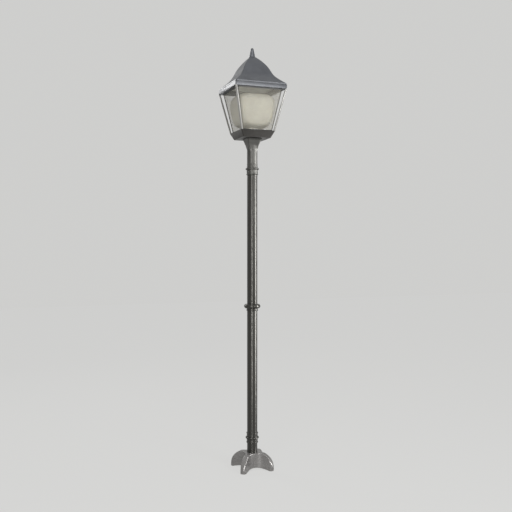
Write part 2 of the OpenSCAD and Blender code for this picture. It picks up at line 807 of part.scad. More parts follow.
module lamp_holder() {
    color("#e9e7df") difference() {
        union() {
            translate([0, 0, holder_z]) cylinder(h = holder_h, r = holder_r);
            translate([0, 0, holder_z]) cylinder(h = 5, r = holder_r + 6);
        }
        translate([0, 0, holder_z + holder_h - cap_len - 2]) cylinder(h = cap_len + 3, r = cap_r + 0.5);
        translate([0, 0, holder_z - 1]) cylinder(h = 20, r = 5);
    }
}

module lamp() {
    z0 = holder_z + holder_h;
    color(opal) translate([0, 0, z0]) {
        translate([0, 0, -cap_len]) cylinder(h = cap_len + 1, r = cap_r);
        translate([0, 0, -cap_len - 2]) cylinder(h = 3, r = 5);
        cylinder(h = 6, r1 = holder_r - 3, r2 = holder_r - 1);
        translate([0, 0, 5]) cylinder(h = lamp_h - bulb_r - 35, r1 = holder_r - 1, r2 = bulb_r);
        translate([0, 0, lamp_h - bulb_r - 31]) cylinder(h = 31, r = bulb_r);
        translate([0, 0, lamp_h - bulb_r]) sphere(bulb_r);
    }
}

block_x = tray_half_low - 31;
block_size = [18, 30, 20];
block_pitch = 6;

module terminal_block() {
    color("#d9d6cc") translate([block_x - block_size[0] / 2, -block_size[1] / 2, floor_z]) difference() {
        cube(block_size);
        for (k = [-1:1]) {
            y = block_size[1] / 2 + k * block_pitch;
            translate([block_size[0] / 2, y, block_size[2] - 8]) cylinder(h = 10, r = 2.2, $fn = 32);
            translate([-1, y, 12]) rotate([0, 90, 0]) cylinder(h = block_size[0] + 2, r = 1.6, $fn = 32);
        }
    }
}

module lamp_leads() {
    d = 2.6;
    color("#6b4a2a") for (s = [-1, 1]) {
        turn = [0, 2.6 * s, floor_z + 14];
        wire([block_x - block_size[0] / 2 + 4, block_pitch * s, floor_z + 12], turn, d);
        wire(turn, [0, 2.6 * s, holder_z + 14], d);
        translate(turn) sphere(d = 1.3 * d, $fn = 16);
    }
}

module cable_grommet() {
    color(rubber) difference() {
        union() {
            translate([0, 0, tray_z - 1.5]) cylinder(h = tray_wall + 3, r = cable_hole_r);
            translate([0, 0, floor_z]) cylinder(h = 2, r = cable_hole_r + 3);
            translate([0, 0, tray_z - 2]) cylinder(h = 2, r = cable_hole_r + 3);
        }
        translate([0, 0, tray_z - 5]) cylinder(h = tray_wall + 10, r = 7);
    }
}

// Roof

roof_half = eave_half - roof_step;
// Half-side of the ogee at every twentieth of its height, as a share of the way out to the rim
ogee = [1, 0.925, 0.853, 0.783, 0.717, 0.657, 0.606, 0.565, 0.532, 0.503, 0.474, 0.444, 0.411, 0.374,
    0.333, 0.287, 0.238, 0.186, 0.13, 0.068, 0];
function ogee_half(t) = roof_top_half + (roof_half - roof_top_half)
    * lookup(t, [for (i = [0:20]) [i / 20, ogee[i]]]);

module roof_solid() {
    rings = [for (i = [0:20])
        cut_square(ogee_half(i / 20), corner_chamfer * (1 - 0.7 * i / 20), ogee_z + roof_rise * i / 20)];
    loft(concat([cut_square(roof_half, corner_chamfer, roof_z)], rings));
}

hinge_lug_in = roof_half - roof_t + 1;
lock_boss = 3 * lock_d;
reflector_half = -lock_y - lock_boss / 2 - 4;
reflector_z = roof_z + 2;
boss_half = reflector_half - 16;
boss_r = 6;
// Tall enough to run into the roof's skin at the bosses' place
boss_h = 0.3 * roof_rise;

module roof_shell() {
    cavity_top = 19;
    color(roof_grey) difference() {
        union() {
            difference() {
                roof_solid();
                cut_prism(roof_half - roof_t, corner_chamfer - 2, roof_z - 1, 1 + roof_rim_h / 2);
                loft(concat([cut_square(roof_half - roof_t, 2, roof_z + roof_rim_h / 2 - eps)],
                    [for (i = [0:cavity_top])
                        cut_square(ogee_half(i / 20) - 1.6 * roof_t, 2, ogee_z + roof_rise * i / 20)]));
            }
            intersection() {
                roof_solid();
                union() {
                    at_corners(boss_half, reflector_z + reflector_t) cylinder(h = boss_h, r = boss_r);
                    translate([-lock_boss / 2, lock_y - lock_boss / 2, roof_z])
                        cube([lock_boss, lock_boss, 0.2 * roof_rise]);
                }
            }
            at_hinges() {
                translate([-roof_knuckle_len / 2, hinge_lug_in, roof_z])
                    cube([roof_knuckle_len, hinge_y - hinge_lug_in, roof_rim_h]);
                translate([-roof_knuckle_len / 2, hinge_y, hinge_z]) rotate([0, 90, 0])
                    cylinder(h = roof_knuckle_len, r = knuckle_r);
            }
        }
        at_hinges() translate([-roof_knuckle_len, hinge_y, hinge_z]) rotate([0, 90, 0])
            cylinder(h = 2 * roof_knuckle_len, d = hinge_pin_d + 2 * pin_slip);
        translate([0, 0, roof_top - 3 * finial_stud_d])
            cylinder(h = 4 * finial_stud_d, d = finial_stud_d + 0.2);
        translate([0, lock_y, roof_z - 1]) cylinder(h = 13, d = lock_d);
        at_corners(boss_half, roof_z) cylinder(h = 16, r = 2);
    }
}

module roof_seal() {
    color(rubber) difference() {
        cut_prism(eave_half - 1, corner_chamfer, frame_top, seal_t);
        cut_prism(eave_half - frame_wall + 0.3, corner_chamfer - 2, frame_top - 1, seal_t + 2);
    }
}

module reflector_plate() {
    color("#dcdcd6") difference() {
        square_prism(reflector_half, reflector_z, reflector_t);
        at_corners(boss_half, reflector_z - 1) cylinder(h = reflector_t + 2, r = 2.2);
    }
}

module reflector_screws() {
    color(zinc) at_corners(boss_half, reflector_z) rotate([180, 0, 0]) screw(3.9, reflector_t + 10, 3.8, 2);
}

module finial() {
    z0 = roof_top;
    ball = finial_tip_r;
    color(roof_grey) {
        translate([0, 0, z0]) rotate_extrude() union() {
            polygon([[0, 0], [finial_r, 0], [finial_r, 3], [finial_r - 2, 5], [ball, finial_h - ball],
                [0, finial_h - ball]]);
            intersection() {
                translate([0, finial_h - ball]) circle(ball);
                translate([0, finial_h - ball]) square([ball, ball]);
            }
        }
        translate([0, 0, z0 - 22]) cylinder(h = 23, d = finial_stud_d);
    }
}

module finial_nut() {
    cavity_z = ogee_z + roof_rise * 0.95;
    color(zinc) translate([0, 0, cavity_z - 8]) difference() {
        cylinder(h = 8, r = 9, $fn = 6);
        translate([0, 0, -1]) cylinder(h = 10, d = finial_stud_d + 0.1);
    }
}

// Hinge

module hinge_bracket() {
    low = eave_z + 6;
    color(iron) difference() {
        union() {
            translate([-bracket_half, eave_half, low]) cube([2 * bracket_half, leaf_t, frame_top - low]);
            for (s = [-1, 1]) {
                x0 = s > 0 ? roof_knuckle_len / 2 + knuckle_gap : -bracket_half;
                translate([x0, eave_half, frame_top - 10])
                    cube([side_knuckle_len, hinge_y - eave_half, hinge_z - frame_top + 10]);
                translate([x0, hinge_y, hinge_z]) rotate([0, 90, 0])
                    cylinder(h = side_knuckle_len, r = knuckle_r);
            }
        }
        translate([-2 * bracket_half, hinge_y, hinge_z]) rotate([0, 90, 0])
            cylinder(h = 4 * bracket_half, d = hinge_pin_d + 2 * pin_slip);
        for (s = [-1, 1]) translate([s * hinge_screw_half, eave_half - 1, hinge_screw_z])
            rotate([-90, 0, 0])
            cylinder(h = leaf_t + 12, d = hinge_screw_d + 0.4);
    }
}

module hinge_bracket_left() {
    translate([-hinge_x, 0, 0]) hinge_bracket();
}

module hinge_bracket_right() {
    translate([hinge_x, 0, 0]) hinge_bracket();
}

module hinge_pin() {
    l = 2 * bracket_half + 1;
    color(zinc) translate([0, hinge_y, hinge_z]) rotate([0, 90, 0]) {
        translate([0, 0, -l / 2]) cylinder(h = l, d = hinge_pin_d);
        for (z = [-l / 2 - 1.5, l / 2]) translate([0, 0, z]) cylinder(h = 1.5, d = hinge_pin_d + 2.5);
    }
}

module hinge_pin_left() {
    translate([-hinge_x, 0, 0]) hinge_pin();
}

module hinge_pin_right() {
    translate([hinge_x, 0, 0]) hinge_pin();
}

module hinge_screws() {
    color(zinc) hinge_screw_places() translate([0, 0, leaf_t])
        screw(hinge_screw_d - 0.1, leaf_t + frame_wall, 4.2, 2.5);
}

foot_casting();
foot_screws();
lower_tube();
foot_collar();
mid_collar();
joint_sleeve();
upper_tube();
neck_casting();
ring_screws();
tray_gasket();
tray();
tray_screws();
sill_seal();
corner_bar_back_right();
corner_bar_back_left();
corner_bar_front_left();
corner_bar_front_right();
glass_front();
glass_right();
glass_back();
glass_left();
corner_strips();
head_seal();
eave_frame();
bar_nuts();
gallery();
gallery_screws();
thumb_screws();
opal_globe();
lamp_holder();
lamp();
terminal_block();
lamp_leads();
cable_grommet();
roof_seal();
roof_shell();
reflector_plate();
reflector_screws();
finial();
finial_nut();
hinge_bracket_left();
hinge_bracket_right();
hinge_pin_left();
hinge_pin_right();
hinge_screws();
roof_lock_screw();
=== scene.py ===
# %% [markdown]
# # A street light with a square lantern
# The real object is a round steel post on a cast foot with four toes. On top of it stands a tapered
# glass lantern with an opal globe inside and a hinged ogee roof. The exact solids come from the
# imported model, in metres. This notebook gives them the soft edges, skins and finishes that a casting,
# a drawn tube and blown glass have, and then sets a plain studio round them.

# %% Load the frame
import math
import bpy
import bmesh
import numpy as np
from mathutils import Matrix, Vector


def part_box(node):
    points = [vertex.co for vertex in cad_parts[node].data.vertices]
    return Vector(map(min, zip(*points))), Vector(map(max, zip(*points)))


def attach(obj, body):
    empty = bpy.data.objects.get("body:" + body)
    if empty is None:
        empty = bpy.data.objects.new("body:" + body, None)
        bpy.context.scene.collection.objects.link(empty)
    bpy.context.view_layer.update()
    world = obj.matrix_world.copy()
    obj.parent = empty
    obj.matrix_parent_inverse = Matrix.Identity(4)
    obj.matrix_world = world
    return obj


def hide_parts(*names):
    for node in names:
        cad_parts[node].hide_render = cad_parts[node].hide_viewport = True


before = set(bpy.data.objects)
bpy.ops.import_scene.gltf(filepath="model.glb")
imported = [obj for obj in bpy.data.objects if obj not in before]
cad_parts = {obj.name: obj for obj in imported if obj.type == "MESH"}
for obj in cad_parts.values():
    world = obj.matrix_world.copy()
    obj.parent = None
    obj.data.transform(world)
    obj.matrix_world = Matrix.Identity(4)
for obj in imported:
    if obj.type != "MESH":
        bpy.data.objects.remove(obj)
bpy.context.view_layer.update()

# %% [markdown]
# ## The camera first
# The photograph looks at the lantern's corner from about twenty degrees left of its front, a little
# above the middle of the post. The camera could be set by eye, but a wrong distance shows at once in
# how steeply the eaves run. So its place was solved from the lantern's corners, for a 50 mm lens on a
# 36 mm sensor. The small shift puts the post where it stands in the frame.

# %% Camera
camera_turn, camera_pitch = 20.4, 1.146
camera_data = bpy.data.cameras.new("camera")
camera_data.lens = 50.0
camera_data.sensor_width = 36.0
camera_data.shift_x = 0.0074
camera = bpy.data.objects.new("camera", camera_data)
camera.location = (-1.826, -4.910, 1.674)
camera.rotation_euler = (math.radians(90.0 - camera_pitch), 0.0, math.radians(-camera_turn))
bpy.context.scene.collection.objects.link(camera)
bpy.context.scene.camera = camera
print("camera", tuple(round(v, 3) for v in camera.location))

# %% [markdown]
# ## One way to make every skin
# A turned ring, a cast toe and a blown globe are all closed skins. Each is worked out as a grid of
# points: one direction runs round the post's axis and the other along a profile. Where the profile
# comes back to its start the skin is a tube with a wall, like a real hollow casting. Blender's own
# cylinders and modifiers could be joined up instead, but one grid has no seams to hide. The grids are
# in millimetres, as a drawing is, and are divided by the millimetres in a metre at the end.

# %% Skin from a grid of points
metre = 1000.0


def skin(name, grid, loop, sharp=None):
    """Closed mesh from grid[row, column]. Columns always close on themselves. With loop the last row
    joins the first one, and otherwise the first and last rows are closed by one flat face each.
    Quad k of a row has the corners (row, k), (row, k + 1), (row + 1, k + 1), (row + 1, k)."""
    rows, cols = grid.shape[:2]
    last = rows if loop else rows - 1
    i, j = np.meshgrid(np.arange(last), np.arange(cols), indexing="ij")
    k = (j + 1) % cols
    up = (i + 1) % rows
    quads = np.stack([i * cols + j, i * cols + k, up * cols + k, up * cols + j], axis=-1)
    quads = quads.reshape(-1, 4)
    corners = quads.ravel()
    totals = np.full(len(quads), 4)
    if not loop:
        ring = np.arange(cols)
        corners = np.concatenate([corners, ring[::-1], (rows - 1) * cols + ring])
        totals = np.concatenate([totals, [cols, cols]])
    mesh = bpy.data.meshes.new(name)
    mesh.vertices.add(rows * cols)
    mesh.vertices.foreach_set("co", grid.reshape(-1).astype(np.float32))
    mesh.loops.add(len(corners))
    mesh.loops.foreach_set("vertex_index", corners.astype(np.int32))
    mesh.polygons.add(len(totals))
    starts = np.concatenate([[0], np.cumsum(totals)[:-1]])
    mesh.polygons.foreach_set("loop_start", starts.astype(np.int32))
    mesh.polygons.foreach_set("loop_total", totals.astype(np.int32))
    mesh.update(calc_edges=True)
    mesh.validate()
    mesh.polygons.foreach_set("use_smooth", np.ones(len(totals), dtype=bool))
    if sharp is not None:
        mesh.set_sharp_from_angle(angle=math.radians(sharp))
    piece = bpy.data.objects.new(name, mesh)
    bpy.context.scene.collection.objects.link(piece)
    return piece


def volume(piece):
    """Signed volume in cubic centimetres, by the sum of triangle cross products: positive when the
    faces point outwards."""
    mesh = piece.data
    mesh.calc_loop_triangles()
    co = np.zeros(len(mesh.vertices) * 3)
    mesh.vertices.foreach_get("co", co)
    tri = np.zeros(len(mesh.loop_triangles) * 3, dtype=np.int32)
    mesh.loop_triangles.foreach_get("vertices", tri)
    p = co.reshape(-1, 3)[tri.reshape(-1, 3)]
    six_times = np.einsum("ij,ij->i", p[:, 0], np.cross(p[:, 1], p[:, 2])).sum()
    return float(six_times / 6 * 1e6)


def place(piece, body, slot, finish, *nodes):
    """Gives a piece its body, its finish and the solids that it stands for, and prints its measures."""
    piece.data.materials.clear()
    piece.data.materials.append(finish)
    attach(piece, body)
    if nodes:
        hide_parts(*nodes)
    print(f"{piece.name}: {len(piece.data.polygons)} faces, {volume(piece):.0f} cm3")

# %% [markdown]
# ## Finishes
# The real light is painted castings, drawn tube, light alloy bars, clear glass and opal glass. A flat
# picture of paint could be wrapped round each piece, but it would stretch and show a seam. Noise on
# Object coordinates does neither, and stays on the surface from any side. Castings carry a fine orange
# peel, the tube shows faint lines along its length, and the panes have a light veil of dust.

# %% Helpers for finishes
def new_finish(name, colour, metallic, roughness):
    """New material with one Principled shader; returns it with its nodes, links and shader."""
    finish = bpy.data.materials.new(name)
    finish.use_nodes = True
    nodes = finish.node_tree.nodes
    shader = nodes["Principled BSDF"]
    shader.inputs["Base Color"].default_value = (*colour, 1.0)
    shader.inputs["Metallic"].default_value = metallic
    shader.inputs["Roughness"].default_value = roughness
    return finish, nodes, finish.node_tree.links, shader


def place_in_metres(nodes, links, scale):
    """Object coordinates stretched by scale along each axis, as a Mapping node's output."""
    where = nodes.new("ShaderNodeTexCoord")
    stretch = nodes.new("ShaderNodeMapping")
    stretch.inputs["Scale"].default_value = scale
    links.new(where.outputs["Object"], stretch.inputs["Vector"])
    return stretch.outputs["Vector"]


def grain(nodes, links, vector, scale, detail=3.0):
    """Noise between 0 and 1 at a number of waves per metre."""
    noise = nodes.new("ShaderNodeTexNoise")
    noise.inputs["Scale"].default_value = scale
    noise.inputs["Detail"].default_value = detail
    links.new(vector, noise.inputs["Vector"])
    return noise.outputs["Fac"]


def spread(nodes, links, value, low, high, start=0.3, end=0.7):
    """Value taken from start..end to low..high, straight and clamped."""
    node = nodes.new("ShaderNodeMapRange")
    node.inputs["From Min"].default_value = start
    node.inputs["From Max"].default_value = end
    node.inputs["To Min"].default_value = low
    node.inputs["To Max"].default_value = high
    links.new(value, node.inputs["Value"])
    return node.outputs["Result"]


def two_tones(nodes, links, value, dark, light, shader):
    """Base colour between two tones, by value."""
    mix = nodes.new("ShaderNodeMix")
    mix.data_type = "RGBA"
    mix.inputs[6].default_value = (*dark, 1.0)
    mix.inputs[7].default_value = (*light, 1.0)
    links.new(value, mix.inputs[0])
    links.new(mix.outputs[2], shader.inputs["Base Color"])


def relief(nodes, links, value, height, shader):
    """Soft bump of a height in metres."""
    bump = nodes.new("ShaderNodeBump")
    bump.inputs["Strength"].default_value = 0.35
    bump.inputs["Distance"].default_value = height
    links.new(value, bump.inputs["Height"])
    links.new(bump.outputs["Normal"], shader.inputs["Normal"])

# %% Painted and metal finishes
def painted(name, dark, light, metallic, rough_low, rough_high, peel):
    """Paint on a casting: two close tones in broad patches, finer patches of gloss, and an orange
    peel whose height is given in metres."""
    tone_waves, gloss_waves, peel_waves = 16.0, 60.0, 420.0
    finish, nodes, links, shader = new_finish(name, light, metallic, rough_low)
    where = place_in_metres(nodes, links, (1.0, 1.0, 1.0))
    tone = spread(nodes, links, grain(nodes, links, where, tone_waves), 0.0, 1.0)
    two_tones(nodes, links, tone, dark, light, shader)
    gloss = spread(nodes, links, grain(nodes, links, where, gloss_waves), rough_low, rough_high)
    links.new(gloss, shader.inputs["Roughness"])
    relief(nodes, links, grain(nodes, links, where, peel_waves, 2.0), peel, shader)
    return finish


def drawn(name, dark, light, metallic, rough_low, rough_high):
    """Drawn tube: noise squeezed round the axis and stretched along it, so that fine lines run up the
    post in gloss and broader ones in tone. A highlight is stretched along the post as well."""
    fine_waves, fine_up, broad_waves, broad_up = 900.0, 0.012, 120.0, 0.05
    finish, nodes, links, shader = new_finish(name, light, metallic, rough_low)
    fine = grain(nodes, links, place_in_metres(nodes, links, (1.0, 1.0, fine_up)), fine_waves, 2.0)
    broad = grain(nodes, links, place_in_metres(nodes, links, (1.0, 1.0, broad_up)), broad_waves, 2.0)
    two_tones(nodes, links, spread(nodes, links, broad, 0.0, 1.0), dark, light, shader)
    links.new(spread(nodes, links, fine, rough_low, rough_high), shader.inputs["Roughness"])
    shader.inputs["Anisotropic"].default_value = 0.85
    shader.inputs["Anisotropic Rotation"].default_value = 0.25
    round_about = nodes.new("ShaderNodeTangent")
    round_about.direction_type, round_about.axis = "RADIAL", "Z"
    links.new(round_about.outputs["Tangent"], shader.inputs["Tangent"])
    return finish


# Each finish has a dark and a light tone, how metallic it is, its lowest and highest roughness and,
# where it is painted, the height of its peel.
post_finish = drawn("post_enamel", (0.038, 0.037, 0.033), (0.050, 0.048, 0.043), 0.6, 0.28, 0.34)
neck_finish = painted("neck_enamel", (0.056, 0.055, 0.050), (0.074, 0.072, 0.066),
                      0.6, 0.38, 0.46, 0.00002)
cast_finish = painted("cast_enamel", (0.205, 0.198, 0.193), (0.245, 0.237, 0.231),
                      0.4, 0.24, 0.32, 0.00006)
tray_finish = painted("tray_enamel", (0.023, 0.021, 0.018), (0.033, 0.030, 0.026),
                      0.2, 0.34, 0.46, 0.0001)
bar_finish = painted("bar_alloy", (0.26, 0.256, 0.245), (0.32, 0.315, 0.30),
                     0.5, 0.32, 0.40, 0.00003)
frame_finish = painted("eave_enamel", (0.068, 0.072, 0.081), (0.090, 0.095, 0.105),
                       0.3, 0.34, 0.44, 0.00003)
roof_finish = frame_finish  # the eave and the roof are painted in one go
zinc_finish = painted("zinc_plate", (0.34, 0.34, 0.33), (0.5, 0.5, 0.49),
                      1.0, 0.28, 0.4, 0.0001)
brass_finish = painted("nickelled_brass", (0.42, 0.38, 0.3), (0.55, 0.5, 0.42),
                       1.0, 0.25, 0.35, 0.0001)
metal_finishes = (post_finish, neck_finish, cast_finish, tray_finish, bar_finish, frame_finish,
                  zinc_finish, brass_finish)
print("painted and metal finishes:", [finish.name for finish in metal_finishes])

# %% Glass, opal and small parts
def clear_pane():
    """Clear pane: mostly see-through, with a veil of dust in soft patches."""
    finish, nodes, links, shader = new_finish("clear_pane", (0.42, 0.4, 0.34), 0.0, 0.12)
    where = place_in_metres(nodes, links, (1.0, 1.0, 1.0))
    veil = spread(nodes, links, grain(nodes, links, where, 9.0, 4.0), 0.19, 0.25)
    links.new(veil, shader.inputs["Alpha"])
    tone = grain(nodes, links, where, 30.0)
    two_tones(nodes, links, tone, (0.38, 0.362, 0.305), (0.48, 0.46, 0.39), shader)
    return finish


def opal_glass():
    """Blown opal glass: warm white with a little light in its depth and very faint flow streaks."""
    finish, nodes, links, shader = new_finish("opal_glass", (0.69, 0.665, 0.575), 0.0, 0.65)
    shader.inputs["Specular IOR Level"].default_value = 0.25
    shader.inputs["Subsurface Weight"].default_value = 0.25
    shader.inputs["Subsurface Radius"].default_value = (1.0, 0.9, 0.7)
    shader.inputs["Subsurface Scale"].default_value = 0.012
    where = place_in_metres(nodes, links, (1.0, 1.0, 0.35))
    streaks = spread(nodes, links, grain(nodes, links, where, 14.0), 0.0, 1.0)
    two_tones(nodes, links, streaks, (0.66, 0.636, 0.545), (0.72, 0.696, 0.604), shader)
    return finish


pane_finish = clear_pane()
opal_finish = opal_glass()
rubber_finish = painted("black_rubber", (0.012, 0.012, 0.012), (0.02, 0.02, 0.02),
                        0.0, 0.6, 0.75, 0.0002)
seal_finish = painted("grey_rubber", (0.07, 0.07, 0.066), (0.1, 0.1, 0.095),
                      0.0, 0.5, 0.65, 0.0001)
# The corner strips are near black. They are black glazing strips, and their tone is also painted shade
# for the dark recess beside each bar.
strip_and_painted_shade_finish = painted("black_strip_and_painted_shade", (0.02, 0.02, 0.019), (0.03, 0.03, 0.028),
                       0.0, 0.4, 0.5, 0.0001)
porcelain_finish = painted("porcelain", (0.7, 0.69, 0.64), (0.78, 0.77, 0.72),
                           0.0, 0.18, 0.25, 0.0001)
lamp_finish = painted("lamp_glass", (0.72, 0.7, 0.64), (0.8, 0.78, 0.72),
                      0.0, 0.15, 0.22, 0.00005)
plate_finish = painted("white_plate", (0.66, 0.67, 0.63), (0.74, 0.75, 0.7),
                       0.0, 0.35, 0.45, 0.0002)
lead_finish = painted("brown_lead", (0.08, 0.04, 0.02), (0.13, 0.07, 0.035),
                      0.0, 0.45, 0.55, 0.0001)
small_finishes = (pane_finish, opal_finish, rubber_finish, seal_finish, strip_and_painted_shade_finish,
                  porcelain_finish, lamp_finish, plate_finish, lead_finish)
print("glass and small finishes:", [finish.name for finish in small_finishes])

# %% Finishes on the carried-over solids
finishes = {
    "foot_casting": cast_finish, "lower_tube": post_finish, "upper_tube": post_finish,
    "foot_collar": post_finish, "mid_collar": post_finish, "joint_sleeve": zinc_finish,
    "neck_casting": neck_finish, "ring_screws": zinc_finish, "foot_screws": zinc_finish,
    "tray_gasket": rubber_finish, "tray": tray_finish, "tray_screws": zinc_finish,
    "sill_seal": rubber_finish, "head_seal": seal_finish, "roof_seal": rubber_finish,
    "cable_grommet": rubber_finish, "corner_strips": strip_and_painted_shade_finish, "eave_frame": frame_finish,
    "bar_nuts": zinc_finish, "gallery": zinc_finish, "gallery_screws": zinc_finish,
    "thumb_screws": brass_finish, "opal_globe": opal_finish, "lamp_holder": porcelain_finish,
    "lamp": lamp_finish, "terminal_block": porcelain_finish, "lamp_leads": lead_finish,
    "roof_shell": roof_finish, "reflector_plate": plate_finish, "reflector_screws": zinc_finish,
    "finial": roof_finish, "finial_nut": zinc_finish, "hinge_bracket_left": frame_finish,
    "hinge_bracket_right": frame_finish, "hinge_pin_left": zinc_finish, "hinge_pin_right": zinc_finish,
    "hinge_screws": zinc_finish, "roof_lock_screw": zinc_finish,
    "corner_bar_back_right": bar_finish, "corner_bar_back_left": bar_finish,
    "corner_bar_front_left": bar_finish, "corner_bar_front_right": bar_finish,
    "glass_front": pane_finish, "glass_right": pane_finish, "glass_back": pane_finish,
    "glass_left": pane_finish,
}
for node, finish in finishes.items():
    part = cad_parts[node]
    part.data.materials.clear()
    part.data.materials.append(finish)
print("solids without a finish:", sorted(set(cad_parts) - set(finishes)))

# %% [markdown]
# ## Turned parts
# The tubes, rings and finial are turned or drawn, so each is a profile carried round the post's axis.
# The Screw modifier could do that too. Here the rings are one array, so that the first and the last
# meet exactly. The profile is a closed line of radius and height, in millimetres, and its corners are
# rounded by small curves, because a real edge always catches a thin line of light.

# %% Profiles
def arc(centre, radius, start, end, count):
    """Points on a circle from one angle to another, in degrees."""
    t = np.radians(np.linspace(start, end, count))
    return np.stack([centre[0] + radius * np.cos(t), centre[1] + radius * np.sin(t)], axis=1)


def rounded(points, radius, count=4):
    """Closed line with every corner cut by a small curve: the two ends lie radius away from the
    corner along its sides, and between them runs (1 - t)^2 a + 2 t (1 - t) corner + t^2 b."""
    points = np.asarray(points, dtype=float)
    back = np.roll(points, 1, axis=0) - points
    ahead = np.roll(points, -1, axis=0) - points
    back_long = np.linalg.norm(back, axis=1, keepdims=True)
    ahead_long = np.linalg.norm(ahead, axis=1, keepdims=True)
    cut = np.minimum(radius, 0.45 * np.minimum(back_long, ahead_long))
    a = points + back / back_long * cut
    b = points + ahead / ahead_long * cut
    t = np.linspace(0.0, 1.0, count)[None, :, None]
    curve = (1 - t) ** 2 * a[:, None] + 2 * t * (1 - t) * points[:, None] + t ** 2 * b[:, None]
    return curve.reshape(-1, 2)


def bead(radius, out, height, z, count=14):
    """Ring's outline from its top down to its foot: part of a circle that stands out by out and
    meets the sleeve at height / 2 above and below z."""
    r = (out * out + height * height / 4) / (2 * out)
    half = math.degrees(math.asin(height / (2 * r)))
    if out > height / 2:
        half = 180.0 - half
    return arc((radius + out - r, z), r, half, -half, count)


def turned(profile, segments=128):
    """Revolves a closed line of (radius, height) in millimetres round the axis; the line runs
    anticlockwise in the radius-height plane, seen from the front."""
    t = np.linspace(0.0, 2 * np.pi, segments, endpoint=False)
    r = profile[:, 0][:, None] / metre
    z = np.broadcast_to(profile[:, 1][:, None] / metre, (len(profile), segments))
    return np.stack([r * np.cos(t), r * np.sin(t), z], axis=-1)

# %% The object's shared numbers, in millimetres
tube_r, tube_in, tube_long, tube_arris = 38.0, 34.4, 1000.0, 0.8
skirt_r, sleeve_bore = 40.6, 38.1
soft_edge = 0.6  # how far a casting's edge is set back for its small chamfer
seat_z, joint_z, upper_z, neck_z, neck_top = 30.0, 1198.0, 1202.0, 2202.0, 2426.0
roof_z, ogee_z, roof_top, total = 2802.3, 2811.3, 3022.3, 3092.3
roof_half, roof_rise = 193.5, 211.0
globe_z, globe_h = 2499.0, 248.0
print("post radius", tube_r, "total height", total)

# %% Tubes
def tube_piece(name, low, high, node):
    """Plain tube: the four corners of its wall's outline, each cut by a small arris."""
    ring = np.array([[tube_in, low], [tube_r, low], [tube_r, high], [tube_in, high]])
    grid = turned(rounded(ring, tube_arris))
    place(skin(name, grid, True, 40), "post", "post_tube", post_finish, node)


tube_piece("drawn_tube_low", seat_z, joint_z, "lower_tube")
tube_piece("drawn_tube_high", upper_z, upper_z + tube_long, "upper_tube")

# %% Rings on the post
def ring_line(low, high, bore, beads):
    """Closed line of a collar: up the bore, over the top, and down the sleeve past its beads. Each
    bead is given as how far it stands out, how high it is, and the height of its middle."""
    over = [bead(skirt_r, *one) for one in beads]
    up = [[bore, low], [bore, high], [skirt_r, high]]
    return np.vstack([up, *over, [[skirt_r, low]]])[::-1]


foot_beads = [(3.0, 9.0, 262.0), (9.0, 13.0, 228.0), (3.0, 9.0, 194.0)]
foot_ring = ring_line(189.5, 266.5, sleeve_bore, foot_beads)
place(skin("foot_ring", turned(foot_ring), True, 35), "post", "post_ring", post_finish,
      "foot_collar")
middle_beads = [(20.0, 32.0, 1200.0), (3.0, 9.0, 1170.5)]
middle_ring = ring_line(1166.0, 1216.0, sleeve_bore, middle_beads)
place(skin("middle_ring", turned(middle_ring), True, 35), "post", "post_ring", post_finish,
      "mid_collar")

# %% Finial
stud_r, stud_long, base_r, tip_r = 5.0, 22.0, 24.0, 10.0
tip = arc((0.0, total - tip_r), tip_r, 8.0, 90.0, 12)[:-1]
base = [[base_r, roof_top], [base_r, roof_top + 3.0], [base_r - 2.0, roof_top + 5.0]]
stud = [[stud_r, roof_top - stud_long], [stud_r, roof_top]]
finial_line = np.vstack([stud, base, tip, [[0.4, total]]])
place(skin("finial_spike", turned(finial_line, 96), False, 32), "roof", "roof_metal",
      roof_finish, "finial")

# %% [markdown]
# ## The cast foot
# The foot is one casting: four toes on the diagonals that swell down from a round collar, with a
# hollow waist between each two. Seen from above it is a star round the axis, so its outside is one
# radius for each angle and height. The radius is the smaller of the toes' plan and of the round
# ridge line, joined by a soft minimum, and that gives the soft arris of a sand casting. Blocks cut
# from each other would leave knife edges there, and sculpting would lose the sizes.

# %% Soft minimum and maximum
def soft_min(a, b, r):
    """Smaller of two lengths, rounded where they meet: min(a, b) - h^2 r / 4 with
    h = max(r - |a - b|, 0) / r."""
    h = np.maximum(r - np.abs(a - b), 0.0) / r
    return np.minimum(a, b) - h * h * r * 0.25


def soft_max(a, b, r):
    """Larger of two lengths, rounded where they meet."""
    return -soft_min(-a, -b, r)

# %% Smooth curve through a table
def through(x, y, at):
    """Smooth curve through a table: cubic pieces whose slope at each point is the harmonic mean of
    the slopes on its two sides, so it never swings past the table."""
    h = np.diff(x)
    d = np.diff(y) / h
    total_slope = np.where(d[:-1] + d[1:] == 0, 1.0, d[:-1] + d[1:])
    inner = np.where(d[:-1] * d[1:] > 0, 2 * d[:-1] * d[1:] / total_slope, 0.0)
    m = np.concatenate([[d[0]], inner, [d[-1]]])
    k = np.clip(np.searchsorted(x, at) - 1, 0, len(h) - 1)
    s = (at - x[k]) / h[k]
    return ((1 + 2 * s) * (1 - s) ** 2 * y[k] + s * (1 - s) ** 2 * h[k] * m[k]
            + s * s * (3 - 2 * s) * y[k + 1] - s * s * (1 - s) * h[k] * m[k + 1])

# %% Foot's plan
foot_h, reach, top_reach, waist = 120.0, 174.0, 91.5, 60.0
toe_low, toe_top, toe_end = 22.0, 18.0, 152.0
waist_c = (waist - toe_top) / (1 - 1 / math.sqrt(2))
hollow_to, side_to = 0.4, 0.75  # shares of an eighth where the hollow and the toe's side end
arch_half, arch_rise = 92.0, 17.0


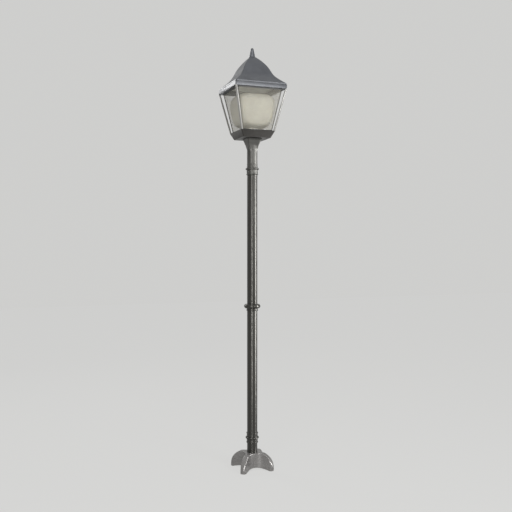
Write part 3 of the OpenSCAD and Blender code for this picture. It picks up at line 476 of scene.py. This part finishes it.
def foot_plan(z):
    """Outline (x, y) of the foot at heights z[row, column]. An eighth of the columns runs from the
    middle of a hollow along its round side, then along the toe's straight side, then round the toe's
    end. In the toe's own axes the hollow is centre - r (cos a, sin a), the side is (u, half) and the
    end is (toe_end + half sin e, half cos e). Mirrored and turned by quarters it gives four toes."""
    cols = z.shape[1]
    eighth = cols // 8
    part = np.arange(cols) // eighth
    k = np.arange(cols) % eighth
    f = np.where(part % 2 == 0, k / eighth, 1.0 - k / eighth)[None, :]
    half = toe_low + (toe_top - toe_low) * z / foot_h
    r = waist_c / math.sqrt(2) - half
    a = np.pi / 4 * np.clip(f / hollow_to, 0.0, 1.0)
    hx, hy = waist_c - r * np.cos(a), r * np.sin(a)
    g = np.clip((f - hollow_to) / (side_to - hollow_to), 0.0, 1.0)
    e = np.pi / 2 * np.clip((f - side_to) / (1.0 - side_to), 0.0, 1.0)
    touch = waist_c / math.sqrt(2)
    u = np.where(f < hollow_to, (hx + hy) / math.sqrt(2),
                 np.where(f < side_to, touch + (toe_end - touch) * g, toe_end + half * np.sin(e)))
    v = np.where(f < hollow_to, (hx - hy) / math.sqrt(2),
                 np.where(f < side_to, half, half * np.cos(e)))
    x, y = (u + v) / math.sqrt(2), (u - v) / math.sqrt(2)
    swap = (part % 2 == 1)[None, :]
    x, y = np.where(swap, y, x), np.where(swap, x, y)
    q = (np.pi / 2 * (part // 2))[None, :]
    return x * np.cos(q) - y * np.sin(q), x * np.sin(q) + y * np.cos(q)


def arch(x, y):
    """Height of the foot's underside: two round arches, one along x and one along y, so that only the
    toes touch the ground. At a distance t from its middle line an arch is arch_rise - r +
    sqrt(r^2 - t^2) high, and the one whose middle line is nearer is the higher of the two."""
    r = (arch_half ** 2 + arch_rise ** 2) / (2 * arch_rise)
    t = np.clip(np.minimum(np.abs(x), np.abs(y)), 0, r)
    return np.maximum(0.0, arch_rise - r + np.sqrt(np.maximum(r * r - t * t, 0.0)))

# %% Foot's skin
ridge = np.array([[1, 0], [1, .13], [.975, .24], [.925, .355], [.845, .48], [.745, .6], [.62, .71],
                  [.49, .8], [.34, .88], [.17, .95], [0, 1]])
arris, top_round, ground_round = 9.0, 3.5, 2.2
cable_r, mouth_r, mouth_deep, socket_mid, top_band = 30.0, 39.0, 0.9, 60.0, 24.0


def foot_skin(cols=448):
    """Rows go up the outside, in over the flat top, down the post's socket, through the cable's
    bore, and out again under the arches. Outside, the radius is the soft minimum of the plan's and
    the ridge line's, less a small round at the top edge and at the ground. The rows lie closer
    together at the ground and in the top band, where the foot turns most."""
    rise = np.concatenate([[0.0, 0.5, 1.2, 2.2, 4.0], np.linspace(7.0, foot_h - top_band, 34),
                           foot_h - top_band * np.linspace(1, 0, 26)[1:] ** 1.6])
    x, y = foot_plan(np.zeros((1, cols)))
    low = arch(x, y)
    z = low + (rise / foot_h)[:, None] * (foot_h - low)
    x, y = foot_plan(z)
    rho, phi = np.hypot(x, y), np.arctan2(y, x)
    share = through(ridge[:, 1], ridge[:, 0], np.clip(z / foot_h, 0, 1))
    rho = soft_min(rho, top_reach + (reach - top_reach) * share, arris)
    up = np.clip(1 - (foot_h - z) / top_round, 0, 1)
    down = np.clip(1 - (z - low) / ground_round, 0, 1)
    rho = rho - top_round * (1 - np.sqrt(1 - up * up)) - ground_round * (1 - np.sqrt(1 - down * down))
    over = np.linspace(0.0, 1.0, 8)[1:-1, None]
    top_rho = rho[-1] + (mouth_r - rho[-1]) * over
    inside = np.array([[mouth_r, foot_h], [sleeve_bore, foot_h - mouth_deep],
                       [sleeve_bore, socket_mid], [sleeve_bore, seat_z], [cable_r, seat_z]])
    under = np.linspace(0.0, 1.0, 22)[:-1, None]
    under_rho = cable_r + (rho[0] - cable_r) * under
    all_rho = np.concatenate([rho, top_rho, np.repeat(inside[:, :1], cols, axis=1), under_rho])
    phi_low = phi[:1]
    phi_all = np.concatenate([phi, np.repeat(phi[-1:], len(over) + len(inside), axis=0),
                              np.repeat(phi_low, len(under), axis=0)])
    ux, uy = under_rho * np.cos(phi_low), under_rho * np.sin(phi_low)
    z_all = np.concatenate([z, np.full((len(over), cols), foot_h),
                            np.repeat(inside[:, 1:], cols, axis=1), arch(ux, uy)])
    return np.stack([all_rho * np.cos(phi_all), all_rho * np.sin(phi_all), z_all], axis=-1) / metre

# %% [markdown]
# ### Holes and hollows
# The foot has tapped holes for its anchors, holes for set screws and a hollow under each toe, as a
# casting has to keep its walls even. Rows of points could be bent round each hole, but a boolean cut
# with an exact rod keeps the holes round and the skin simple.

# %% Cutting holes
def carve(piece, cutters, sharp):
    """Takes the cutters' space out of the piece in one step: the cutters stand apart from each other,
    so they are gathered into one mesh first."""
    both = bmesh.new()
    for cutter in cutters:
        both.from_mesh(cutter.data)
        bpy.data.objects.remove(cutter)
    gathered = bpy.data.meshes.new("cutters")
    both.to_mesh(gathered)
    both.free()
    tool = bpy.data.objects.new("cutters", gathered)
    bpy.context.scene.collection.objects.link(tool)
    cut = piece.modifiers.new("carve", "BOOLEAN")
    cut.operation, cut.solver, cut.object = "DIFFERENCE", "EXACT", tool
    bpy.context.view_layer.update()
    shaped = piece.evaluated_get(bpy.context.evaluated_depsgraph_get())
    made = bpy.data.meshes.new_from_object(shaped)
    piece.modifiers.clear()
    piece.data = made
    bpy.data.objects.remove(tool)
    made.polygons.foreach_set("use_smooth", np.ones(len(made.polygons), dtype=bool))
    made.set_sharp_from_angle(angle=math.radians(sharp))


def rod(radius, low, high, at=(0.0, 0.0), lie=False, turn=0.0, segments=40):
    """Round rod from low to high: upright at the place (x, y), or lying along x at the height and the
    side distance at, and turned round the axis."""
    t = np.linspace(0.0, 2 * np.pi, segments, endpoint=False)
    ends = np.array([low, high])[:, None] + 0 * t
    a, b = radius * np.cos(t) + 0 * ends, radius * np.sin(t) + 0 * ends
    if lie:
        c, s = math.cos(turn), math.sin(turn)
        a = a + at[1]
        grid = np.stack([ends * c - a * s, ends * s + a * c, at[0] + b], axis=-1)
    else:
        grid = np.stack([a + at[0], b + at[1], ends], axis=-1)
    return skin("rod", grid / metre, False)


def pocket(turn):
    """Tapered hollow under a toe, narrower towards its ceiling: two rectangles, from near to far along
    the toe, one just below the ground and one at the ceiling."""
    near, far, wide, narrow, ceiling = 47.0, 138.0, 15.5, 11.5, 56.0
    low = np.array([[near, -wide], [far, -wide], [far, wide], [near, wide]])
    top = np.array([[near, -narrow], [far - 3, -narrow], [far - 3, narrow], [near, narrow]])
    plan = np.stack([low, top])
    c, s = math.cos(turn), math.sin(turn)
    x, y = plan[..., 0] * c - plan[..., 1] * s, plan[..., 0] * s + plan[..., 1] * c
    z = np.array([[-1.0] * 4, [ceiling] * 4])
    return skin("pocket", np.stack([x, y, z], axis=-1) / metre, False)

# %% The foot itself
anchor_at, anchor_r, anchor_top = 107.5, 7.0, 32.0
foot_screw_r, foot_screw_z = 4.0, 60.0
foot = skin("cast_foot", foot_skin(), True)
print("foot before its holes:", round(volume(foot)), "cm3")
holes = [rod(anchor_r, -1.0, anchor_top, (sx * anchor_at, sy * anchor_at))
         for sx in (-1, 1) for sy in (-1, 1)]
holes += [rod(foot_screw_r, 36.0, 120.0, (foot_screw_z, 0.0), lie=True, turn=turn)
          for turn in (0.0, math.pi / 2)]
holes += [pocket(math.radians(a)) for a in (45, 135, 225, 315)]
carve(foot, holes, 38)
place(foot, "post", "post_casting", cast_finish, "foot_casting")

# %% [markdown]
# ## The neck, from round to square
# The neck is one casting: a skirt that slips over the upper tube, two beads and a ring, and a flare
# that turns the round post into the lantern's square seat. Its outside is again one radius for each
# angle and height. A square with soft corners is (|cos|^n + |sin|^n)^(-1/n), and the soft maximum of
# that and the post's circle gives the smooth way from one to the other. A loft between a few drawn
# outlines would do as well, but this keeps every level's corners alike.

# %% Neck
flare = np.array([[0, .46], [.17, .53], [.35, .61], [.5, .665], [.6, .72], [.72, .79], [.83, .85],
                  [.9, .895], [.955, .955], [.975, .985], [1, 1]])
flare_h, seat_half, seat_round, square_power, blend = 93.0, 58.0, 0.7, 18, 7.0
spigot_r, spigot_long, wire_r = 34.3, 90.0, 25.0


def neck_skin(cols=224):
    """Closed rows: up the bore, over the square top, down the flare and the beaded skirt, up the
    groove round the spigot, and down the spigot."""
    t = np.linspace(0.0, 2 * np.pi, cols, endpoint=False)[None, :]
    soft_square = np.abs(np.cos(t)) ** square_power + np.abs(np.sin(t)) ** square_power
    soft_square = soft_square ** (-1 / square_power)
    s = np.concatenate([[1.0, 0.992], np.linspace(0.985, 0.0, 44)])
    z = neck_top - flare_h + flare_h * s
    side = seat_half * through(flare[:, 0], flare[:, 1], s)
    side[0] -= seat_round
    wide = soft_max(side[:, None] * soft_square, np.full((1, cols), tube_r), blend)
    wide = np.where(s[:, None] > 0.02, wide, tube_r)
    skirt = np.vstack([bead(tube_r, 1.5, 4.5, neck_z + 40.5, 8), bead(skirt_r, 9.0, 13.0, neck_z + 6.5),
                       bead(skirt_r, 3.0, 9.0, neck_z - 34.0), [[skirt_r, neck_z - 38.5]]])
    inner = np.array([[sleeve_bore, neck_z - 38.5], [sleeve_bore, neck_z], [spigot_r, neck_z],
                      [spigot_r, neck_z - spigot_long], [wire_r, neck_z - spigot_long],
                      [wire_r, neck_z + 60.0], [wire_r, neck_top - soft_edge],
                      [wire_r + soft_edge, neck_top], [40.0, neck_top]])
    rest = np.vstack([skirt, inner])
    rows_r = np.concatenate([wide, np.repeat(rest[:, :1], cols, axis=1)])
    rows_z = np.concatenate([np.repeat(z[:, None], cols, axis=1), np.repeat(rest[:, 1:], cols, axis=1)])
    grid = np.stack([rows_r * np.cos(t), rows_r * np.sin(t), rows_z], axis=-1) / metre
    return grid[::-1]


neck = skin("cast_neck", neck_skin(), True, 38)
neck_screw_r, neck_screw_z = 2.5, 2185.0
holes = [rod(neck_screw_r, 34.5, 50.0, (neck_screw_z, 0.0), lie=True, turn=math.radians(a), segments=24)
         for a in (90, 210, 330)]
carve(neck, holes, 38)
place(neck, "post", "neck_metal", neck_finish, "neck_casting")

# %% [markdown]
# ## The opal globe
# The globe is blown into a square mould, so each level is a square with round corners that changes
# from a circle at the neck to its widest near the top. A profile gives the half-width and the corner
# radius at each height, and the wall is the same skin again, set in by three millimetres. A box with
# a Subdivision Surface would look much the same, but its width would only come near the real one.

# %% Globe
globe_table = np.array([[0, .36, 1], [.02, .5, 1], [.05, .66, .8], [.1, .78, .56], [.2, .85, .38],
                        [.3, .885, .31], [.42, .925, .28], [.55, .965, .28], [.68, .995, .32],
                        [.78, 1, .37], [.85, .985, .42], [.9, .94, .47], [.94, .875, .53],
                        [.97, .78, .6], [.99, .66, .7], [1, .5, .8]])
globe_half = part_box("opal_globe")[1][0] * metre
globe_neck_r, globe_neck_long, globe_wall = 50.0, 18.0, 3.0


def lifted(ring, z):
    """Rows of (x, y) in millimetres lifted to their heights, as points in metres."""
    height = np.broadcast_to(z[:, None, None], ring.shape[:2] + (1,))
    return np.concatenate([ring, height], axis=-1) / metre


def round_square(half, corner, count):
    """Square of the given half-width with round corners, as count points at even angles: for each
    direction the ray's first hit with a side or a corner's circle."""
    t = np.linspace(0.0, 2 * np.pi, count, endpoint=False)[None, :]
    c, s = np.abs(np.cos(t)), np.abs(np.sin(t))
    half, corner = half[:, None], corner[:, None]
    side = half / np.maximum(c, s)
    k = half - corner
    along = k * (c + s)
    root = np.maximum(along ** 2 - 2 * k * k + corner * corner, 0.0)
    radius = np.where(side * np.minimum(c, s) > k, along + np.sqrt(root), side)
    return np.stack([radius * np.cos(t), radius * np.sin(t)], axis=-1)


def globe_skin(wall, rows=110):
    """Rows of points from the neck's mouth to the crown, set in by wall."""
    s = 0.5 - 0.5 * np.cos(np.linspace(0.0, np.pi, rows))
    half = through(globe_table[:, 0], globe_table[:, 1], s) * globe_half
    half = np.maximum(half, globe_neck_r) - wall
    share = through(globe_table[:, 0], globe_table[:, 2], s)
    z = globe_z + wall + s * (globe_h - 2 * wall)
    crown = np.linspace(1.0, 0.0, 14)[1:-1]
    half = np.concatenate([[globe_neck_r - wall] * 2, half, half[-1] * crown])
    share = np.concatenate([[1.0, 1.0], share, np.full(len(crown), share[-1])])
    z = np.concatenate([[globe_z - globe_neck_long, globe_z - 4.0], z, np.full(len(crown), z[-1])])
    return lifted(round_square(half, half * share, 192), z)


outside, inside = globe_skin(0.0), globe_skin(globe_wall)
globe = skin("opal_blown_globe", np.concatenate([inside[::-1], outside]), False)
place(globe, "post", "opal", opal_finish, "opal_globe")
print("globe half width, mm:", round(float(outside[..., 0].max() * metre), 1))

# %% [markdown]
# ## The ogee roof
# The roof is one casting with four equal ogee faces and cut corners. Its half-width at each height
# comes from a table taken as shares of the rim, with a smooth curve through it. The inner skin is set
# in and stops short of the top, where the metal is solid round the finial's stud. A curve with a
# Bevel could sweep one face, but the four would have to be mitred, and here the hips meet by
# themselves. The lock's boss has a sloping top that ends inside the roof's wall.

# %% Roof
ogee = np.array([1, .925, .853, .783, .717, .657, .606, .565, .532, .503, .474, .444, .411, .374, .333,
                 .287, .238, .186, .13, .068, 0])
tip_half, roof_wall, hip_cut, inner_cut, inner_top, roof_stud_r = 21.0, 6.4, 6.0, 2.0, 0.95, 5.1


def cut_square(half, cut, per_side=10):
    """Square with cut corners: each row goes round eight straight sides, with per_side points each."""
    h, c = half[:, None], cut[:, None]
    xs = np.concatenate([h, h, h - c, c - h, -h, -h, c - h, h - c], axis=1)
    ys = np.concatenate([c - h, h - c, h, h, h - c, c - h, -h, -h], axis=1)
    f = np.linspace(0.0, 1.0, per_side, endpoint=False)[None, None, :]
    x = xs[:, :, None] + (np.roll(xs, -1, axis=1) - xs)[:, :, None] * f
    y = ys[:, :, None] + (np.roll(ys, -1, axis=1) - ys)[:, :, None] * f
    rows = len(half)
    return np.stack([x.reshape(rows, -1), y.reshape(rows, -1)], axis=-1)


def roof_skin():
    """Rows up the outside from the rim to the flat top, through the hole for the finial's stud, and
    down the inside skin to the rim again."""
    steps = np.linspace(0, 1, 21)
    t, ti = np.linspace(0.0, 1.0, 81), np.linspace(inner_top, 0.0, 60)
    span = roof_half - tip_half
    half_out = tip_half + span * through(steps, ogee, t)
    half_in = tip_half + span * through(steps, ogee, ti) - roof_wall
    half = np.r_[roof_half - soft_edge, roof_half, half_out, roof_stud_r, roof_stud_r, half_in,
                 roof_half - 4.0, roof_half - 4.0]
    cut = np.r_[hip_cut, hip_cut, hip_cut * (1 - 0.7 * t), np.full(4 + len(ti), inner_cut)]
    z = np.r_[roof_z, roof_z + soft_edge, ogee_z + roof_rise * t, roof_top,
              ogee_z + roof_rise * inner_top, ogee_z + roof_rise * ti, roof_z + 4.5, roof_z]
    return lifted(cut_square(half, cut), z)


place(skin("ogee_roof", roof_skin(), True, 22), "roof", "roof_metal", roof_finish, "roof_shell")

# %% Knuckles on the roof
hinge_x, pin_y, pin_z, pin_hole = 110.0, 204.0, 2806.8, 3.05
lug_root, lug_r, lug_half = 190.0, 6.0, 10.0


def knuckle(name, x):
    """Lug with a round end, carried along x: the line goes along the lug's foot, round the pin, and
    back along its top; the two end rows are a little smaller, for a soft edge."""
    end = arc((pin_y, pin_z), lug_r, -90.0, 90.0, 24)
    line = np.vstack([[[lug_root, pin_z - 4.4], [pin_y - 3.0, pin_z - 4.5]], end,
                      [[pin_y - 3.0, pin_z + 4.5], [lug_root, pin_z + 4.4]]])
    centre = line.mean(axis=0)
    shrink = np.array([0.94, 1.0, 1.0, 0.94])[:, None, None]
    rows = centre + (line - centre) * shrink
    xs = np.array([-lug_half, soft_edge - lug_half, lug_half - soft_edge, lug_half])[:, None] + x
    grid = np.stack([np.broadcast_to(xs, rows.shape[:2]), rows[..., 0], rows[..., 1]], axis=-1) / metre
    lug = skin(name, grid, False, 30)
    carve(lug, [rod(pin_hole, x - 12.0, x + 12.0, (pin_z, pin_y), lie=True, segments=32)], 30)
    place(lug, "roof", "roof_metal", roof_finish)


knuckle("roof_knuckle_left", -hinge_x)
knuckle("roof_knuckle_right", hinge_x)

# %% Lock boss
lock_y, boss_half, boss_top, boss_slope = -183.0, 9.0, 2816.8, 0.64
boss_ring = cut_square(np.array([boss_half - soft_edge, boss_half, boss_half]), np.full(3, 1.5), 1)
boss_ring = boss_ring + np.array([0.0, lock_y])
boss_z = np.array([roof_z, roof_z + soft_edge, boss_top])[:, None] + np.zeros(boss_ring.shape[:2])
boss_z[2] += boss_slope * (boss_ring[2, :, 1] - lock_y)
boss_grid = np.concatenate([boss_ring, boss_z[..., None]], axis=-1)
boss = skin("roof_lock_boss", boss_grid / metre, False, 30)
carve(boss, [rod(pin_hole, roof_z - 1.0, roof_z + 12.0, (0.0, lock_y), segments=32)], 30)
place(boss, "roof", "roof_metal", roof_finish)
print("roof is", round(roof_top - roof_z, 1), "mm high")

# %% [markdown]
# ## Bars, tray and eave frame
# These pieces are flat-sided, and the solids already have their exact shape, so nothing would be won
# by drawing them again. What they lack is the soft edge of a rolled bar and of a casting. A copy of
# each solid's mesh is merged into one skin, its flat faces are joined up, and a bevel rounds every
# edge by less than a millimetre.

# %% Soft edges for flat-sided pieces
def softened(node, width, body, slot, finish):
    """Copy of a solid's mesh with merged points, joined flat faces and rounded edges."""
    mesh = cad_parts[node].data.copy()
    shape = bmesh.new()
    shape.from_mesh(mesh)
    bmesh.ops.remove_doubles(shape, verts=shape.verts, dist=2e-6)
    bmesh.ops.dissolve_limit(shape, angle_limit=math.radians(1.0), verts=shape.verts, edges=shape.edges)
    shape.to_mesh(mesh)
    shape.free()
    piece = bpy.data.objects.new("soft_" + node, mesh)
    bpy.context.scene.collection.objects.link(piece)
    mesh.polygons.foreach_set("use_smooth", np.ones(len(mesh.polygons), dtype=bool))
    edge = piece.modifiers.new("edge", "BEVEL")
    edge.width, edge.segments = width, 2
    edge.limit_method, edge.angle_limit = "ANGLE", math.radians(32)
    edge.harden_normals = True
    place(piece, body, slot, finish, node)


bar_edge, cast_edge = 0.0009, 0.0008
for corner in ("back_right", "back_left", "front_left", "front_right"):
    softened("corner_bar_" + corner, bar_edge, "post", "bar_metal", bar_finish)
softened("tray", cast_edge, "post", "tray_metal", tray_finish)
softened("eave_frame", cast_edge, "post", "frame_metal", frame_finish)

# %% [markdown]
# ## Studio
# The studio has a plain pale floor and backdrop, broad soft lamps in front, above, at the right and
# behind, and two lamps that show only as highlights. Those two draw the long lines on the post. The
# backdrop's tone comes from the background's own colour for what is seen, mirrored or looked through,
# and not from more light on the object.

# %% Floor and world
pale = (0.62, 0.62, 0.61, 1.0)
floor_tone, floor_share, floor_half = (0.70, 0.70, 0.69, 1.0), 0.85, 14


def shown(nodes, links):
    """1 for rays from the camera, from a mirror-like surface or through glass, and 0 for the rest."""
    path = nodes.new("ShaderNodeLightPath")
    value = path.outputs["Is Camera Ray"]
    for kind in ("Is Glossy Ray", "Is Transmission Ray"):
        larger = nodes.new("ShaderNodeMath")
        larger.operation = "MAXIMUM"
        links.new(value, larger.inputs[0])
        links.new(path.outputs[kind], larger.inputs[1])
        value = larger.outputs[0]
    return value


def pale_floor():
    """Pale floor: a matt surface that keeps the object's shadow, with a share of a pale tone of its
    own for what is seen of it, so that it meets the backdrop almost without a line."""
    finish, nodes, links, shader = new_finish("pale_floor", pale[:3], 0.0, 1.0)
    shader.inputs["Specular IOR Level"].default_value = 0.0
    where = place_in_metres(nodes, links, (1.0, 1.0, 1.0))
    two_tones(nodes, links, grain(nodes, links, where, 3.0), (0.60, 0.60, 0.59), pale[:3], shader)
    own = nodes.new("ShaderNodeEmission")
    own.inputs["Color"].default_value = floor_tone
    share = nodes.new("ShaderNodeMath")
    share.operation = "MULTIPLY"
    share.inputs[1].default_value = floor_share
    links.new(shown(nodes, links), share.inputs[0])
    mix = nodes.new("ShaderNodeMixShader")
    links.new(share.outputs[0], mix.inputs[0])
    links.new(shader.outputs[0], mix.inputs[1])
    links.new(own.outputs[0], mix.inputs[2])
    links.new(mix.outputs[0], nodes["Material Output"].inputs["Surface"])
    return finish


floor_mesh = bpy.data.meshes.new("floor")
floor_corners = [(-floor_half, -floor_half, 0), (floor_half, -floor_half, 0),
                 (floor_half, floor_half, 0), (-floor_half, floor_half, 0)]
floor_mesh.from_pydata(floor_corners, [], [(0, 1, 2, 3)])
floor_mesh.materials.append(pale_floor())
floor = bpy.data.objects.new("floor", floor_mesh)
bpy.context.scene.collection.objects.link(floor)

world = bpy.data.worlds.new("studio")
world.use_nodes = True
bpy.context.scene.world = world
nodes, links = world.node_tree.nodes, world.node_tree.links
nodes.clear()
backdrop = nodes.new("ShaderNodeBackground")
backdrop.inputs["Color"].default_value = pale
ambient = nodes.new("ShaderNodeBackground")
ambient.inputs["Color"].default_value = (1.0, 1.0, 1.0, 1.0)
ambient.inputs["Strength"].default_value = 0.3
choose = nodes.new("ShaderNodeMixShader")
links.new(shown(nodes, links), choose.inputs[0])
links.new(ambient.outputs[0], choose.inputs[1])
links.new(backdrop.outputs[0], choose.inputs[2])
sky = nodes.new("ShaderNodeOutputWorld")
links.new(choose.outputs[0], sky.inputs["Surface"])
print("floor", 2 * floor_half, "m wide, backdrop tone", pale[:3])

# %% Lights
def soft_light(name, azimuth, distance, height, size, power, target, sheen=False):
    """Rectangular lamp at an azimuth measured from the camera's side, looking at the post's axis at
    the target's height. A sheen lamp shows only as a highlight, so it draws its line up the post and
    leaves the floor and the globe alone."""
    data = bpy.data.lights.new(name, "AREA")
    data.shape = "RECTANGLE"
    data.size, data.size_y = size
    data.energy = power
    lamp = bpy.data.objects.new(name, data)
    a = math.radians(azimuth - camera_turn - 90.0)
    lamp.location = (distance * math.cos(a), distance * math.sin(a), height)
    drop = math.atan2(height - target, distance)
    lamp.rotation_euler = (math.pi / 2 - drop, 0.0, a + math.pi / 2)
    lamp.visible_diffuse = not sheen
    bpy.context.scene.collection.objects.link(lamp)


# Each lamp has its azimuth, its distance and height, its width and height, its power in watts, and the
# height that it looks at.
soft_light("back_left", -134.0, 4.0, 4.05, (1.5, 1.1), 48.0, 2.9)
soft_light("right_strip", 86.0, 4.2, 1.75, (1.6, 3.2), 400.0, 1.7, sheen=True)
soft_light("centre_strip", -2.0, 5.9, 0.75, (0.7, 1.2), 150.0, 0.4, sheen=True)
soft_light("right_soft", 44.0, 5.0, 3.0, (1.6, 1.6), 115.0, 1.9)
soft_light("front_soft", -12.0, 6.4, 3.0, (2.6, 1.4), 130.0, 1.9)
soft_light("top_soft", 0.0, 2.6, 5.4, (2.2, 2.2), 60.0, 2.6)
bpy.context.scene.view_settings.view_transform = "Standard"
